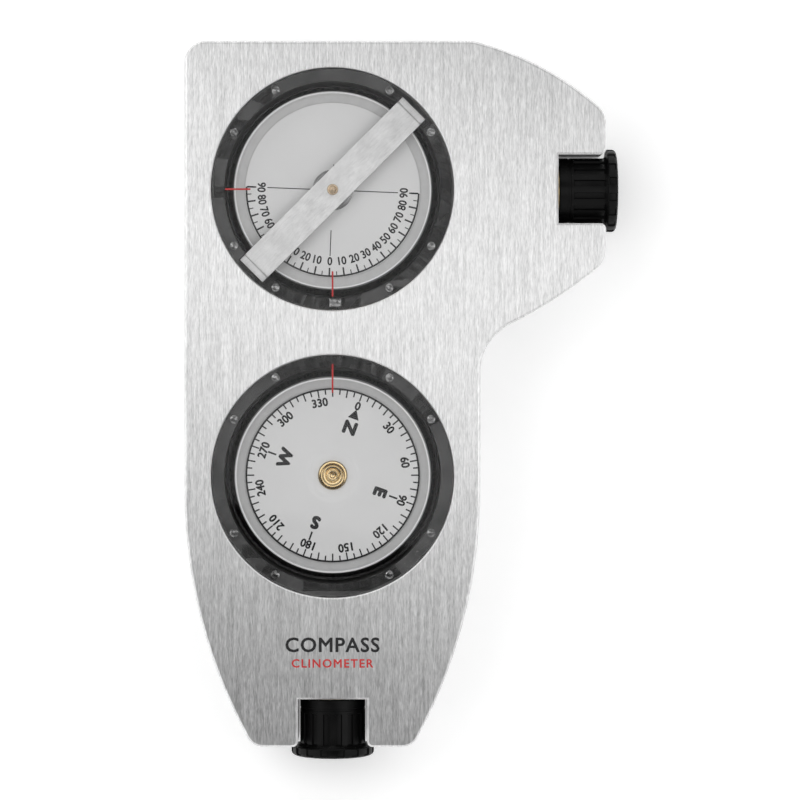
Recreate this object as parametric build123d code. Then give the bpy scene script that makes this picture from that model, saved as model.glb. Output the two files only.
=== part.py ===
from build123d import *
import math
import os

# Sighting instrument with a clinometer capsule above a compass capsule, set in one metal block, and a
# focusing eyepiece for each. Millimetres. The block lies on its back: dials face +Z, the clinometer end
# is +Y, and the origin is the middle of the bounding box, on the back face.

# ---- overall sizes -------------------------------------------------------------------------------
OVERALL_LENGTH = 122.3  # along Y, over the lower eyepiece
OVERALL_WIDTH = 73.9  # along X, over the side eyepiece
THICKNESS = 15.0
EYEPIECE_PROUD = 2.15  # flange of an eyepiece beyond the block

# ---- outline of the block ------------------------------------------------------------------------
SIDE_METAL = 4.5  # block beside a capsule's pocket
FOOT_HALF_WIDTH = 13.6
TAPER_RADIUS = 88.0  # sides curve in to the foot on this radius
SHOULDER_RADIUS = 50.0
SHOULDER_RUN = 22.7  # along the top edge
SHOULDER_DROP = 12.3  # down the head's end
THROAT_RADIUS = 75.0
THROAT_START = 12.2  # below the side eyepiece's axis, on the head's end
THROAT_END = 25.3  # below the same axis, on the neck
THROAT_FILLET = 9.0
TOP_CORNER_FILLET = 3.7
SHOULDER_FILLET = 6.0
HEAD_CORNER_FILLET = 4.0
FOOT_CORNER_FILLET = 3.0
EDGE_ROUND = 0.5

# ---- capsules ------------------------------------------------------------------------------------
TOP_METAL = 4.51  # block above the clinometer's pocket
POCKET_SPACING = 7.5  # metal between the two pockets
CAPSULE_RADIUS = 20.6
CAPSULE_GAP = 0.1  # glue line between a capsule and its pocket
CUP_WALL = 2.1
CUP_FLOOR = 1.0
BLOCK_FLOOR = 1.5  # metal left behind a capsule
POCKET_CHAMFER = 0.2
COVER_SINK = 0.4  # cover below the block's face
COVER_PLATE = 1.8
COVER_FLANGE = 1.2
PAD_RADIUS = 0.75
PAD_HEIGHT = 0.25
PAD_INSET = 1.2  # pad's centre inside the cover's edge
PAD_ANGLES = (30, 60, 120, 150, 210, 240, 300, 330)
PLUG_RADIUS = 1.0
PLUG_INSET = 6.5  # plug's centre inside the cup's wall

# ---- drums and dials -----------------------------------------------------------------------------
CLINO_DRUM_GAP = 0.4  # drum's lower edge to the cup's wall
COMPASS_DRUM_GAP = 0.55
CLINO_DIAL_INSET = 1.9  # dial's edge inside the drum's
COMPASS_DIAL_INSET = 2.1
DIAL_DROP = 2.45  # cover underside to dial face
DIAL_THICKNESS = 0.25
DRUM_WEB = 0.5
DRUM_WALL = 0.5
DRUM_LIP = 0.3  # drum wall above its web
DRUM_SKIRT = 3.2  # drum wall below the line of sight
DRUM_FLARE = 1.2  # wall's spread from the web down to its lower edge, so its scale shows from above
RUNNING_GAP = 0.05  # radial, for every shaft and sliding fit

# ---- clinometer works ----------------------------------------------------------------------------
BRIDGE_INSET = 0.9  # bridge's end inside the cup's outer wall
BRIDGE_WIDTH = 5.5
BRIDGE_THICKNESS = 0.5
BRIDGE_ANGLE = 45
BRIDGE_SINK = 1.0  # underside of the bridge below the cup's rim
BRIDGE_FOLD = 1.1  # thinned end of the bridge
BRIDGE_FOLD_DEPTH = 0.15
BRIDGE_GAP = 0.1  # round the bridge in its notches
SCREW_HEAD_RADIUS = 0.95
SCREW_HEAD = 0.35
SCREW_RADIUS = 0.6
SCREW_LENGTH = 0.9  # below the bridge
ARBOR_RADIUS = 0.6
PIVOT_RADIUS = 0.25
PIVOT_LENGTH = 0.75
CLINO_HUB_RADIUS = 3.45
CLINO_HUB_RISE = 0.25
CLINO_HUB_STEM = 1.6
JEWEL_RADIUS = 0.9
JEWEL_HEIGHT = 0.7
CLINO_BOSS_RADIUS = 1.6
CLINO_BOSS = 1.5  # above the cup's floor
PIVOT_END_GAP = 0.1
WEIGHT_WIDTH = 6.3
WEIGHT_HALF_ANGLE = 35
WEIGHT_THICKNESS = 1.2
WEIGHT_GAP = 0.1  # to the drum's wall

# ---- compass works -------------------------------------------------------------------------------
CARD_HEADING = 20  # north mark, degrees clockwise from +Y
HUB_STEPS = ((2.5, 0.35), (1.7, 0.3), (0.9, 0.25))  # radius and height of each step
HUB_STEM_RADIUS = 1.5
HUB_STEM = 0.6  # below the drum's web
HUB_BORE = 0.95
CUP_JEWEL = 0.55
CUP_JEWEL_CONE = 0.35
POST_RADIUS = 0.6
POST_BASE_RADIUS = 1.2
POST_BASE = 1.0
POST_TIP = 1.2
POST_TIP_GAP = 0.03
COMPASS_BOSS_RADIUS = 2.2
MAGNET_LENGTH = 18.0
MAGNET_WIDTH = 5.0
MAGNET_THICKNESS = 2.4
MAGNET_LIFT = 0.35  # tilt axis above the middle of the space under the card
MAGNET_HOLE = 1.6
CARRIER_WALL = 0.5
CARRIER_LENGTH = 4.0
CARRIER_SHELL = 0.4  # above and below the magnet
TRUNNION_RADIUS = 0.4
TRUNNION_LENGTH = 1.2
LUG_GAP = 0.5
LUG_THICKNESS = 0.8
LUG_WIDTH = 2.0
LUG_BELOW = 0.8  # below the tilt axis

# ---- eyepieces, measured out from the block's face -----------------------------------------------
SLOT_DEPTH = 8.1
SLOT_SIDE_GAP = 0.25
SLOT_CORNER_FILLET = 1.0
SLOT_BEVEL = 0.35  # round the slot, on the block's front and back
RING_RADIUS = 5.6
RING_WALL = 0.75
RING_END_GAP = 0.3  # ring to the slot's end
RING_COLLAR = 2.5  # smooth length before the ribs
GROOVE_COUNT = 16
GROOVE_RADIUS = 0.45
GROOVE_DEPTH = 0.3
FLANGE_STEP = 1.5  # flange beyond the ring, radially
FLANGE_START = 0.45
FLANGE_ROUND = 0.5
NOTCH_RADIUS = 0.5
NOTCH_DEPTH = 0.25
EYE_LIP = 1.35  # width of the lip that keeps the lens cell in
EYE_FUNNEL = 0.95
LIP_START = 0.85
SLEEVE_WALL = 0.9
SLEEVE_FRONT = 2.0  # behind the block's face
SLEEVE_SEAT = 6.0  # into the block, past the slot
SLEEVE_GAP = 0.1
O_RING_SECTION = 0.25
O_RING_PLACE = 3.6
CELL_WALL = 0.85
CELL_SHOULDER_GAP = 0.15  # shoulder to the ring's bore
CELL_SHOULDER = 1.7
CELL_REAR_GAP = 0.5
LENS_WALL = 1.15  # cell round the lens
LENS_GAP = 0.05
LENS_SEAT = 2.0  # recess depth in the cell
LENS_EDGE = 1.1
LENS_DOME = 0.45
RETAINER_WIDTH = 0.55
RETAINER_HEIGHT = 0.7
CLIP_THICKNESS = 0.35
CLIP_BITE = 0.15  # into the ring's wall
CLIP_GAP = 0.07
CLIP_OPENING = 3.0
KEY_RADIUS = 0.4
KEY_PLACE = 2.2  # ahead of the sleeve's rear end
KEY_ENGAGE = 0.65  # into the cell's wall
KEYWAY = 3.2
SIGHT_RADIUS = 3.2

# ---- tripod socket, 1/4-20 -----------------------------------------------------------------------
TRIPOD_RADIUS = 2.6
TRIPOD_DEPTH = 8.0
TRIPOD_OFFSET = 10.0  # from the capsules' centre line

# ---- places worked out from the sizes ------------------------------------------------------------
TOP_Y = OVERALL_LENGTH / 2
FOOT_Y = EYEPIECE_PROUD - OVERALL_LENGTH / 2
LEFT_X = -OVERALL_WIDTH / 2
HEAD_X = OVERALL_WIDTH / 2 - EYEPIECE_PROUD
POCKET_RADIUS = CAPSULE_RADIUS + CAPSULE_GAP
NECK_HALF_WIDTH = POCKET_RADIUS + SIDE_METAL
AXIS_X = LEFT_X + NECK_HALF_WIDTH
NECK_X = AXIS_X + NECK_HALF_WIDTH
CLINO_DROP = POCKET_RADIUS + TOP_METAL  # top edge to the clinometer's centre
CAPSULE_PITCH = 2 * POCKET_RADIUS + POCKET_SPACING
CLINO_Y = TOP_Y - CLINO_DROP
COMPASS_Y = CLINO_Y - CAPSULE_PITCH
SIGHT_Z = THICKNESS / 2
CUP_INNER = CAPSULE_RADIUS - CUP_WALL
PAD_CIRCLE = CAPSULE_RADIUS - PAD_INSET
PLUG_CIRCLE = CUP_INNER - PLUG_INSET
CLINO_DRUM_RADIUS = CUP_INNER - CLINO_DRUM_GAP - DRUM_FLARE
CLINO_DIAL_RADIUS = CLINO_DRUM_RADIUS - CLINO_DIAL_INSET
COMPASS_DRUM_RADIUS = CUP_INNER - COMPASS_DRUM_GAP - DRUM_FLARE
COMPASS_DIAL_RADIUS = COMPASS_DRUM_RADIUS - COMPASS_DIAL_INSET
BRIDGE_LENGTH = 2 * (CAPSULE_RADIUS - BRIDGE_INSET)
CUP_FLOOR_Z = BLOCK_FLOOR + CUP_FLOOR
COVER_TOP_Z = THICKNESS - COVER_SINK
RIM_Z = COVER_TOP_Z - COVER_PLATE  # cup's rim and cover's underside
DIAL_Z = RIM_Z - DIAL_DROP
WEB_TOP_Z = DIAL_Z - DIAL_THICKNESS
WEB_BOTTOM_Z = WEB_TOP_Z - DRUM_WEB
BRIDGE_Z = RIM_Z - BRIDGE_SINK
TILT_Z = (CUP_FLOOR_Z + WEB_BOTTOM_Z) / 2 + MAGNET_LIFT
BOSS_TOP_Z = CUP_FLOOR_Z + CLINO_BOSS
RING_BORE = RING_RADIUS - RING_WALL
FLANGE_RADIUS = RING_RADIUS + FLANGE_STEP
EYE_OPENING = RING_BORE - EYE_LIP
SLEEVE_RADIUS = RING_BORE - RUNNING_GAP
SLEEVE_BORE = SLEEVE_RADIUS - SLEEVE_WALL
SLEEVE_REAR = -SLOT_DEPTH - SLEEVE_SEAT
CELL_RADIUS = SLEEVE_BORE - RUNNING_GAP
CELL_BORE = CELL_RADIUS - CELL_WALL
CELL_SHOULDER_RADIUS = RING_BORE - CELL_SHOULDER_GAP
LENS_RADIUS = CELL_SHOULDER_RADIUS - LENS_WALL - LENS_GAP
RETAINER_BORE = LENS_RADIUS - RETAINER_WIDTH
CELL_TOP = LIP_START - RUNNING_GAP
SHOULDER_UNDER = CELL_TOP - CELL_SHOULDER
LENS_BACK = CELL_TOP - LENS_SEAT
CLIP_TOP = SHOULDER_UNDER - CLIP_GAP

written = []


def save(name, shape):
    """Write one sub-part to its own file."""
    shape.label = name
    export_step(shape, os.path.join("parts", name + ".step"))
    written.append(name)


def disc(radius, z_low, z_high, x=0.0, y=0.0):
    """Upright cylinder between two heights."""
    base = (Align.CENTER, Align.CENTER, Align.MIN)
    return Pos(x, y, z_low) * Cylinder(radius, z_high - z_low, align=base)


def washer(outer, inner, z_low, z_high):
    """Upright tube between two heights."""
    return disc(outer, z_low, z_high) - disc(inner, z_low, z_high)


def slab(length, width, z_low, z_high, x=0.0, y=0.0):
    """Box between two heights, centred on x and y."""
    base = (Align.CENTER, Align.CENTER, Align.MIN)
    return Pos(x, y, z_low) * Box(length, width, z_high - z_low, align=base)


def turned(*corners):
    """Solid of revolution about Z from (radius, height) corners."""
    outline = Polyline(*[(radius, 0, height) for radius, height in corners], close=True)
    return revolve(make_face(outline.edges()), Axis.Z)


# ---- block ---------------------------------------------------------------------------------------
def taper_start():
    """Height at which the straight sides turn tangent into the curve towards the foot."""
    inward = NECK_HALF_WIDTH - FOOT_HALF_WIDTH
    return FOOT_Y + math.sqrt(2 * TAPER_RADIUS * inward - inward**2)


def block_outline():
    """Plan of the block, with every corner rounded."""
    foot_left, foot_right = AXIS_X - FOOT_HALF_WIDTH, AXIS_X + FOOT_HALF_WIDTH
    taper_y = taper_start()
    shoulder_top = (HEAD_X - SHOULDER_RUN, TOP_Y)
    shoulder_end = (HEAD_X, TOP_Y - SHOULDER_DROP)
    throat_head = (HEAD_X, CLINO_Y - THROAT_START)
    throat_neck = (NECK_X, CLINO_Y - THROAT_END)
    lines = [
        Line((foot_left, FOOT_Y), (foot_right, FOOT_Y)),
        TangentArc((NECK_X, taper_y), (foot_right, FOOT_Y), tangent=(0, -1)),
        Line((NECK_X, taper_y), throat_neck),
        RadiusArc(throat_neck, throat_head, -THROAT_RADIUS),
        Line(throat_head, shoulder_end),
        RadiusArc(shoulder_end, shoulder_top, -SHOULDER_RADIUS),
        Line(shoulder_top, (LEFT_X, TOP_Y)),
        Line((LEFT_X, TOP_Y), (LEFT_X, taper_y)),
        TangentArc((LEFT_X, taper_y), (foot_left, FOOT_Y), tangent=(0, -1)),
    ]
    plan = make_face([line.edge() for line in lines])
    rounds = (
        ((foot_left, FOOT_Y), FOOT_CORNER_FILLET),
        ((foot_right, FOOT_Y), FOOT_CORNER_FILLET),
        (throat_neck, THROAT_FILLET),
        (throat_head, HEAD_CORNER_FILLET),
        (shoulder_end, HEAD_CORNER_FILLET),
        (shoulder_top, SHOULDER_FILLET),
        ((LEFT_X, TOP_Y), TOP_CORNER_FILLET),
    )
    for corner, radius in rounds:
        nearest = min(plan.vertices(), key=lambda v: math.dist((v.X, v.Y), corner))
        plan = fillet(nearest, radius)
    return plan


def slot_tool():
    """Space round an eyepiece in its own axes, open at the block's face, front and back."""
    half = RING_RADIUS + SLOT_SIDE_GAP
    r = SLOT_CORNER_FILLET
    mouth = make_face(
        [
            Line((-half, -SLOT_DEPTH), (half, -SLOT_DEPTH)).edge(),
            Line((half, -SLOT_DEPTH), (half, -r)).edge(),
            RadiusArc((half, -r), (half + r, 0), r).edge(),
            Line((half + r, 0), (half + r, r)).edge(),
            Line((half + r, r), (-half - r, r)).edge(),
            Line((-half - r, r), (-half - r, 0)).edge(),
            RadiusArc((-half - r, 0), (-half, -r), r).edge(),
            Line((-half, -r), (-half, -SLOT_DEPTH)).edge(),
        ]
    )
    space = extrude(mouth, amount=THICKNESS, both=True)
    bevel = Pos(0, 0, SIGHT_Z - SLOT_BEVEL) * extrude(mouth, amount=SLOT_BEVEL, taper=-45)
    space += [bevel, mirror(bevel, Plane.XY)]
    # The plan is drawn across and outwards, so it is stood up along the eyepiece's own Z.
    upright = Plane(origin=(0, 0, 0), x_dir=(0, 1, 0), z_dir=(1, 0, 0)).location
    return upright * space


def pocket_tool():
    """Space for a capsule, with a chamfered mouth."""
    return turned(
        (0, BLOCK_FLOOR),
        (POCKET_RADIUS, BLOCK_FLOOR),
        (POCKET_RADIUS, THICKNESS - POCKET_CHAMFER),
        (POCKET_RADIUS + POCKET_CHAMFER, THICKNESS),
        (0, THICKNESS),
    )


def body_block(seats):
    """The metal block with its pockets, slots, sight bores and tripod socket."""
    block = extrude(block_outline(), amount=THICKNESS)
    faces = block.faces().filter_by(Axis.Z)
    block = fillet(faces.edges(), EDGE_ROUND)
    for y in (CLINO_Y, COMPASS_Y):
        block -= Pos(AXIS_X, y, 0) * pocket_tool()
    for seat, reach in seats:
        block -= seat * slot_tool()
        block -= seat * disc(SLEEVE_RADIUS + SLEEVE_GAP, SLEEVE_REAR, -SLOT_DEPTH + 1)
        block -= seat * disc(SIGHT_RADIUS, CAPSULE_RADIUS - reach, SLEEVE_REAR + 1)
    y_socket = (CLINO_Y + COMPASS_Y) / 2
    block -= disc(TRIPOD_RADIUS, 0, TRIPOD_DEPTH, AXIS_X + TRIPOD_OFFSET, y_socket)
    return block


# ---- capsules ------------------------------------------------------------------------------------
def cup_shell():
    """Clear cup without its centre boss, with a hole for the filling plug."""
    cup = disc(CAPSULE_RADIUS, BLOCK_FLOOR, RIM_Z) - disc(CUP_INNER, CUP_FLOOR_Z, RIM_Z)
    return cup - disc(PLUG_RADIUS, BLOCK_FLOOR, CUP_FLOOR_Z, 0, PLUG_CIRCLE)


def capsule_cover():
    """Clear window with a lower flange, which carries eight small round pads."""
    flange_z = RIM_Z + COVER_FLANGE
    cover = disc(CUP_INNER, RIM_Z, COVER_TOP_Z) + disc(CAPSULE_RADIUS, RIM_Z, flange_z)
    for angle in PAD_ANGLES:
        pad = disc(PAD_RADIUS, flange_z, flange_z + PAD_HEIGHT, PAD_CIRCLE)
        cover += Rot(0, 0, angle) * pad
    return cover


def fill_plug():
    """Plug that closes the filling hole in a cup's floor."""
    return disc(PLUG_RADIUS, BLOCK_FLOOR, CUP_FLOOR_Z, 0, PLUG_CIRCLE)


def drum(radius, bore):
    """Thin drum: a web under the dial and a flared wall whose outside carries the sighted scale."""
    lip, foot = WEB_TOP_Z + DRUM_LIP, SIGHT_Z - DRUM_SKIRT
    inside = radius - DRUM_WALL
    return turned(
        (bore, WEB_BOTTOM_Z),
        (inside, WEB_BOTTOM_Z),
        (inside + DRUM_FLARE, foot),
        (radius + DRUM_FLARE, foot),
        (radius, WEB_TOP_Z),
        (radius, lip),
        (inside, lip),
        (inside, WEB_TOP_Z),
        (bore, WEB_TOP_Z),
    )


# ---- clinometer ----------------------------------------------------------------------------------
def clino_cup():
    """Cup with a jewel boss, and two notches in the rim for the bridge."""
    cup = cup_shell() + disc(CLINO_BOSS_RADIUS, CUP_FLOOR_Z, BOSS_TOP_Z)
    cup -= disc(JEWEL_RADIUS, BOSS_TOP_Z - JEWEL_HEIGHT, BOSS_TOP_Z)
    length, width = BRIDGE_LENGTH + 2 * BRIDGE_GAP, BRIDGE_WIDTH + 2 * BRIDGE_GAP
    return cup - Rot(0, 0, BRIDGE_ANGLE) * slab(length, width, BRIDGE_Z, RIM_Z)


def bridge():
    """Flat bar across the clinometer, thinned at its ends, with the screw's hole."""
    top = BRIDGE_Z + BRIDGE_THICKNESS
    bar = slab(BRIDGE_LENGTH, BRIDGE_WIDTH, BRIDGE_Z, top)
    for side in (-1, 1):
        middle = side * (BRIDGE_LENGTH - BRIDGE_FOLD) / 2
        bar -= slab(BRIDGE_FOLD, BRIDGE_WIDTH, top - BRIDGE_FOLD_DEPTH, top, middle)
    return Rot(0, 0, BRIDGE_ANGLE) * (bar - disc(SCREW_RADIUS, BRIDGE_Z, top))


def pivot_screw():
    """Brass screw in the bridge: its lower end is the upper bearing."""
    top = BRIDGE_Z + BRIDGE_THICKNESS
    low = BRIDGE_Z - SCREW_LENGTH
    screw = disc(SCREW_RADIUS, low, top) + disc(SCREW_HEAD_RADIUS, top, top + SCREW_HEAD)
    return screw - disc(PIVOT_RADIUS + RUNNING_GAP, low, low + PIVOT_LENGTH)


def clino_arbor():
    """Steel arbor with a fine pivot at each end."""
    low = BOSS_TOP_Z + PIVOT_END_GAP
    high = BRIDGE_Z - SCREW_LENGTH - PIVOT_END_GAP
    arbor = disc(ARBOR_RADIUS, low, high)
    return arbor + disc(PIVOT_RADIUS, BOSS_TOP_Z - JEWEL_HEIGHT + PIVOT_END_GAP, high + PIVOT_LENGTH)


def clino_hub():
    """Collet that joins the dial and the drum to the arbor."""
    stem = disc(CLINO_HUB_STEM, WEB_BOTTOM_Z - CLINO_HUB_STEM, DIAL_Z)
    hub = stem + disc(CLINO_HUB_RADIUS, DIAL_Z, DIAL_Z + CLINO_HUB_RISE)
    return hub - disc(ARBOR_RADIUS, 0, THICKNESS)


def counterweight():
    """Sector under the web that keeps the zero mark lowest when the instrument is held upright."""
    outer = CLINO_DRUM_RADIUS - DRUM_WALL - WEIGHT_GAP
    low = WEB_BOTTOM_Z - WEIGHT_THICKNESS
    ring = washer(outer, outer - WEIGHT_WIDTH, low, WEB_BOTTOM_Z)
    reach = 2 * outer
    spread = reach * math.tan(math.radians(WEIGHT_HALF_ANGLE))
    wedge = make_face(Polyline((0, 0), (spread, -reach), (-spread, -reach), close=True).edges())
    return ring & extrude(Pos(0, 0, low) * wedge, amount=WEIGHT_THICKNESS)


def build_clinometer():
    """Clinometer capsule, centred on its own axis."""
    top_of_dial = (WEB_TOP_Z, DIAL_Z)
    jewel_low = BOSS_TOP_Z - JEWEL_HEIGHT
    pieces = {
        "clinometer_cup": clino_cup(),
        "clinometer_cover": capsule_cover(),
        "clinometer_fill_plug": fill_plug(),
        "clinometer_lower_jewel": washer(JEWEL_RADIUS, PIVOT_RADIUS + RUNNING_GAP, jewel_low, BOSS_TOP_Z),
        "clinometer_bridge": bridge(),
        "clinometer_pivot_screw": pivot_screw(),
        "clinometer_drum": drum(CLINO_DRUM_RADIUS, CLINO_HUB_STEM),
        "clinometer_dial": washer(CLINO_DIAL_RADIUS, CLINO_HUB_STEM, *top_of_dial),
        "clinometer_hub": clino_hub(),
        "clinometer_arbor": clino_arbor(),
        "clinometer_counterweight": counterweight(),
    }
    for name, shape in pieces.items():
        save(name, Pos(AXIS_X, CLINO_Y, 0) * shape)


# ---- compass -------------------------------------------------------------------------------------
def compass_cup():
    """Cup with a boss that holds the foot of the pivot post."""
    boss = washer(COMPASS_BOSS_RADIUS, POST_BASE_RADIUS, CUP_FLOOR_Z, CUP_FLOOR_Z + POST_BASE)
    return cup_shell() + boss


def pivot_post():
    """Post with a wide foot and a sharp tip under the jewel."""
    tip = jewel_bottom() + CUP_JEWEL_CONE - POST_TIP_GAP
    foot = CUP_FLOOR_Z + POST_BASE
    return turned(
        (0, CUP_FLOOR_Z),
        (POST_BASE_RADIUS, CUP_FLOOR_Z),
        (POST_BASE_RADIUS, foot),
        (POST_RADIUS, foot),
        (POST_RADIUS, tip - POST_TIP),
        (0, tip),
    )


def jewel_bottom():
    """Underside of the cupped jewel, which sits at the top of the hub's bore."""
    return DIAL_Z - CUP_JEWEL / 2


def cup_jewel():
    """Jewel with a cone that rides on the post."""
    low = jewel_bottom()
    return turned(
        (0, low + CUP_JEWEL_CONE),
        (CUP_JEWEL_CONE, low),
        (HUB_BORE, low),
        (HUB_BORE, low + CUP_JEWEL),
        (0, low + CUP_JEWEL),
    )


def compass_hub():
    """Stepped brass hub with a blind bore from below for the jewel and the post."""
    hub = disc(HUB_STEM_RADIUS, WEB_BOTTOM_Z - HUB_STEM, DIAL_Z)
    level = DIAL_Z
    for radius, height in HUB_STEPS:
        hub += disc(radius, level, level + height)
        level += height
    return hub - disc(HUB_BORE, 0, jewel_bottom() + CUP_JEWEL)


def card_drum():
    """Compass drum with two lugs that carry the magnet's trunnions."""
    card = drum(COMPASS_DRUM_RADIUS, HUB_STEM_RADIUS)
    inside = MAGNET_WIDTH / 2 + CARRIER_WALL + LUG_GAP
    for side in (-1, 1):
        middle = side * (inside + LUG_THICKNESS / 2)
        card += slab(LUG_THICKNESS, LUG_WIDTH, TILT_Z - LUG_BELOW, WEB_BOTTOM_Z, middle)
    bore = Cylinder(TRUNNION_RADIUS + RUNNING_GAP, 4 * inside, rotation=(0, 90, 0))
    return card - Pos(0, 0, TILT_Z) * bore


def magnet():
    """Bar magnet along the card's north-south line, with a hole round the post."""
    half = MAGNET_THICKNESS / 2
    bar = slab(MAGNET_WIDTH, MAGNET_LENGTH, TILT_Z - half, TILT_Z + half)
    return bar - disc(MAGNET_HOLE, 0, THICKNESS)


def magnet_carrier():
    """Strap round the magnet with a trunnion on each side."""
    half = MAGNET_THICKNESS / 2
    outer_half = half + CARRIER_SHELL
    cheek = MAGNET_WIDTH / 2 + CARRIER_WALL
    strap = slab(2 * cheek, CARRIER_LENGTH, TILT_Z - outer_half, TILT_Z + outer_half)
    strap -= slab(MAGNET_WIDTH, CARRIER_LENGTH, TILT_Z - half, TILT_Z + half)
    strap -= disc(MAGNET_HOLE, 0, THICKNESS)
    for side in (-1, 1):
        middle = side * (cheek + TRUNNION_LENGTH / 2)
        pin = Cylinder(TRUNNION_RADIUS, TRUNNION_LENGTH, rotation=(0, 90, 0))
        strap += Pos(middle, 0, TILT_Z) * pin
    return strap


def build_compass():
    """Compass capsule, centred on its own axis; what turns with the card is set to its heading."""
    fixed = {
        "compass_cup": compass_cup(),
        "compass_cover": capsule_cover(),
        "compass_fill_plug": fill_plug(),
        "compass_pivot_post": pivot_post(),
    }
    turning = {
        "compass_card_drum": card_drum(),
        "compass_dial": washer(COMPASS_DIAL_RADIUS, HUB_STEM_RADIUS, WEB_TOP_Z, DIAL_Z),
        "compass_hub": compass_hub(),
        "compass_cup_jewel": cup_jewel(),
        "compass_magnet": magnet(),
        "compass_magnet_carrier": magnet_carrier(),
    }
    for name, shape in fixed.items():
        save(name, Pos(AXIS_X, COMPASS_Y, 0) * shape)
    for name, shape in turning.items():
        save(name, Pos(AXIS_X, COMPASS_Y, 0) * Rot(0, 0, -CARD_HEADING) * shape)


# ---- eyepieces -----------------------------------------------------------------------------------
# Each is drawn about Z with the block's face at height 0 and the eye above it; local X is the
# block's +Z.
def eyepiece_ring():
    """Ribbed focusing ring with a notched flange and an eye opening."""
    rear = RING_END_GAP - SLOT_DEPTH
    flare = FLANGE_START
    front = EYEPIECE_PROUD
    clip_low = CLIP_TOP - CLIP_THICKNESS
    groove = RING_BORE + CLIP_BITE + RUNNING_GAP
    ring = turned(
        (RING_BORE, rear),
        (RING_RADIUS, rear),
        (RING_RADIUS, 0),
        (RING_RADIUS + flare, flare),
        (FLANGE_RADIUS, flare),
        (FLANGE_RADIUS, front - FLANGE_ROUND),
        (FLANGE_RADIUS - FLANGE_ROUND, front),
        (EYE_OPENING + EYE_FUNNEL, front),
        (EYE_OPENING, front - EYE_FUNNEL),
        (EYE_OPENING, LIP_START),
        (RING_BORE, LIP_START),
        (RING_BORE, CLIP_TOP + RUNNING_GAP),
        (groove, CLIP_TOP + RUNNING_GAP),
        (groove, clip_low - RUNNING_GAP),
        (RING_BORE, clip_low - RUNNING_GAP),
    )
    groove_x = RING_RADIUS + GROOVE_RADIUS - GROOVE_DEPTH
    notch_x = FLANGE_RADIUS + NOTCH_RADIUS - NOTCH_DEPTH
    for i in range(GROOVE_COUNT):
        turn = Rot(0, 0, (i + 0.5) * 360 / GROOVE_COUNT)
        ring -= turn * disc(GROOVE_RADIUS, rear + RING_COLLAR, 0, groove_x)
        ring -= turn * disc(NOTCH_RADIUS, flare, front, notch_x)
    return ring


def eyepiece_sleeve():
    """Guide sleeve fixed in the block, with a groove for the O-ring and a hole for the key."""
    sleeve = washer(SLEEVE_RADIUS, SLEEVE_BORE, SLEEVE_REAR, -SLEEVE_FRONT)
    bottom = SLEEVE_RADIUS - 2 * O_RING_SECTION
    half = O_RING_SECTION + RUNNING_GAP
    sleeve -= washer(SLEEVE_RADIUS + 1, bottom, -O_RING_PLACE - half, -O_RING_PLACE + half)
    return sleeve - key_rod(KEY_RADIUS, SLEEVE_BORE / 2, SLEEVE_RADIUS + 1)


def key_rod(radius, start, end):
    """Radial rod on the side of the block's face, at the key's place."""
    rod = Cylinder(radius, end - start, rotation=(0, 90, 0))
    return Pos((start + end) / 2, 0, SLEEVE_REAR + KEY_PLACE) * rod


def o_ring():
    """Seal between the sleeve and the ring."""
    return Pos(0, 0, -O_RING_PLACE) * Torus(SLEEVE_RADIUS - O_RING_SECTION, O_RING_SECTION)


def lens_cell():
    """Keyed tube that carries the lens and slides in the sleeve."""
    rear = SLEEVE_REAR + CELL_REAR_GAP
    recess = LENS_RADIUS + LENS_GAP
    cell = turned(
        (CELL_BORE, rear),
        (CELL_RADIUS, rear),
        (CELL_RADIUS, SHOULDER_UNDER),
        (CELL_SHOULDER_RADIUS, SHOULDER_UNDER),
        (CELL_SHOULDER_RADIUS, CELL_TOP),
        (recess, CELL_TOP),
        (recess, LENS_BACK),
        (CELL_BORE, LENS_BACK),
    )
    width = 2 * (KEY_RADIUS + RUNNING_GAP)
    return cell - slab(2 * CELL_RADIUS, width, rear, rear + KEYWAY, CELL_RADIUS)


def eye_lens():
    """Plano-convex lens with a flat rim for the retainer."""
    edge = LENS_BACK + LENS_EDGE
    rim = Polyline((0, LENS_BACK), (LENS_RADIUS, LENS_BACK), (LENS_RADIUS, edge), (RETAINER_BORE, edge))
    dome = ThreePointArc((RETAINER_BORE, edge), dome_middle(edge), (0, edge + LENS_DOME))
    axis = Line((0, edge + LENS_DOME), (0, LENS_BACK))
    section = Plane.XZ * make_face([*rim.edges(), dome.edge(), axis.edge()])
    return revolve(section, Axis.Z)


def dome_middle(edge):
    """Point half way along the dome, on the sphere that it belongs to."""
    sphere = (RETAINER_BORE**2 + LENS_DOME**2) / (2 * LENS_DOME)
    half = math.asin(RETAINER_BORE / sphere) / 2
    return (sphere * math.sin(half), edge + LENS_DOME - sphere * (1 - math.cos(half)))


def lens_retainer():
    """Ring that holds the lens in its cell."""
    low = LENS_BACK + LENS_EDGE
    return washer(LENS_RADIUS, RETAINER_BORE, low, low + RETAINER_HEIGHT)


def cell_clip():
    """Open spring clip that traps the cell's shoulder inside the ring."""
    outer = RING_BORE + CLIP_BITE
    inner = (CELL_RADIUS + CELL_SHOULDER_RADIUS) / 2 - CLIP_BITE
    low = CLIP_TOP - CLIP_THICKNESS
    clip = washer(outer, inner, low, CLIP_TOP)
    return clip - slab(CLIP_OPENING, outer, low, CLIP_TOP, 0, outer)


def key_pin():
    """Radial pin that stops the cell from turning."""
    return key_rod(KEY_RADIUS, CELL_RADIUS - KEY_ENGAGE, SLEEVE_RADIUS)


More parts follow.
